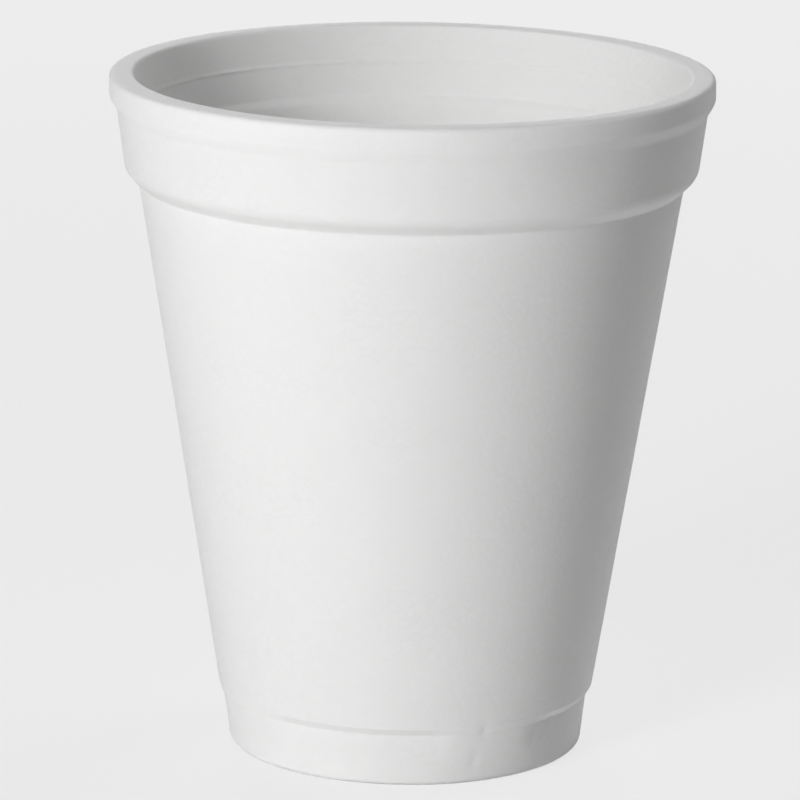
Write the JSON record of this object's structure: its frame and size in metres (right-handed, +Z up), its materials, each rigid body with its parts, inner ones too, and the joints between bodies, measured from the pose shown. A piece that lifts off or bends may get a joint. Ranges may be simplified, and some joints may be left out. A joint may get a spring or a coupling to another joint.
{
  "type": "foam cup",
  "caption": "White moulded foam drinking cup: tapered side, stepped collar under a beaded brim, and a stepped foot ring to stand on",
  "frame": {"origin": "on the cup's axis, in the plane that the foot ring rests on", "axes": "+Z runs up the cup's axis and out of the mouth; the cup is round, so +X is the viewer's right and +Y points away from the viewer only by convention"},
  "size_m": [0.0798, 0.0798, 0.0909],
  "materials": {
    "foam": "matte expanded-bead foam skin"
  },
  "bodies": {
    "root": {"cup": "foam"}
  },
  "joints": []
}
